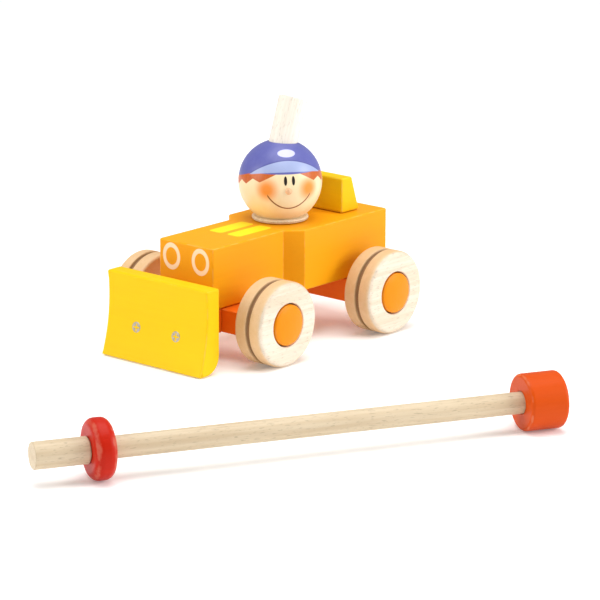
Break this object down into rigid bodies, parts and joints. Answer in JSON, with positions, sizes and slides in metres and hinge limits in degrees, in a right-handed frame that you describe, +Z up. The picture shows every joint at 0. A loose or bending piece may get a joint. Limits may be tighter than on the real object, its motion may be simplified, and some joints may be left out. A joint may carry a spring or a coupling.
{
  "type": "push along truck",
  "caption": "Wooden push along truck with a dozer blade, a ball-headed driver, free-turning grooved wheels and a long push stick lying beside it.",
  "frame": {"origin": "on the floor, at the middle of the footprint of the truck and the loose push stick beside it together", "axes": "-Y is the truck's front, +X is the driver's left, +Z is up"},
  "size_m": [0.3184, 0.378, 0.1414],
  "materials": {
    "orange_paint": "satin orange paint on wood",
    "red_orange_paint": "satin red-orange paint on wood",
    "yellow_paint": "satin yellow paint on wood",
    "hub_cap_orange": "semi-gloss orange paint on turned wood",
    "ring_red": "semi-gloss red paint on turned wood",
    "knob_orange": "semi-gloss red-orange paint on turned wood",
    "beech_wood": "clear lacquer on sanded beech",
    "wheel_beech": "clear lacquer on turned beech",
    "pale_beech": "clear lacquer on pale turned wood",
    "face_paint": "pale lacquered wood with a painted cap, hair and face",
    "screw_steel": "dull zinc-plated steel"
  },
  "bodies": {
    "truck": {"body_block": "orange_paint", "blade_carrier": "red_orange_paint", "front_axle_block": "red_orange_paint", "rear_axle_block": "red_orange_paint", "blade": "yellow_paint", "seat_back": "yellow_paint", "driver_head": "face_paint", "driver_nose": "pale_beech", "neck_collar": "pale_beech", "head_dowel": "beech_wood", "seat_dowel_left": "beech_wood", "seat_dowel_right": "beech_wood", "stick_stub": "beech_wood", "front_axle": "beech_wood", "rear_axle": "beech_wood", "hub_cap_front_left": "hub_cap_orange", "hub_cap_front_right": "hub_cap_orange", "hub_cap_rear_left": "hub_cap_orange", "hub_cap_rear_right": "hub_cap_orange", "chassis_screw_carrier_left": "screw_steel", "chassis_screw_carrier_right": "screw_steel", "chassis_screw_front_left": "screw_steel", "chassis_screw_front_right": "screw_steel", "chassis_screw_rear_left": "screw_steel", "chassis_screw_rear_right": "screw_steel", "blade_screw_left": "screw_steel", "blade_screw_right": "screw_steel"},
    "front_left_wheel": {"wheel_front_left": "wheel_beech"},
    "front_right_wheel": {"wheel_front_right": "wheel_beech"},
    "rear_left_wheel": {"wheel_rear_left": "wheel_beech"},
    "rear_right_wheel": {"wheel_rear_right": "wheel_beech"},
    "push_stick": {"stick_lower_rod": "beech_wood", "stick_dowel": "beech_wood", "stick_ring": "ring_red", "stick_knob": "knob_orange"}
  },
  "joints": [
    {"name": "front_left_wheel_spin", "type": "hinge", "parent": "truck", "child": "front_left_wheel", "pos_m": [-0.04847, 0.06664, 0.025], "axis": [1, 0, 0], "continuous": true},
    {"name": "front_right_wheel_spin", "type": "hinge", "parent": "truck", "child": "front_right_wheel", "pos_m": [-0.14697, 0.06664, 0.025], "axis": [1, 0, 0], "continuous": true},
    {"name": "rear_left_wheel_spin", "type": "hinge", "parent": "truck", "child": "rear_left_wheel", "pos_m": [-0.04847, 0.16314, 0.025], "axis": [1, 0, 0], "continuous": true},
    {"name": "rear_right_wheel_spin", "type": "hinge", "parent": "truck", "child": "rear_right_wheel", "pos_m": [-0.14697, 0.16314, 0.025], "axis": [1, 0, 0], "continuous": true},
    {"name": "push_stick_lift", "type": "slide", "parent": "truck", "child": "push_stick", "axis": [0, 0, 1], "range_m": [0, 0.15]}
  ]
}
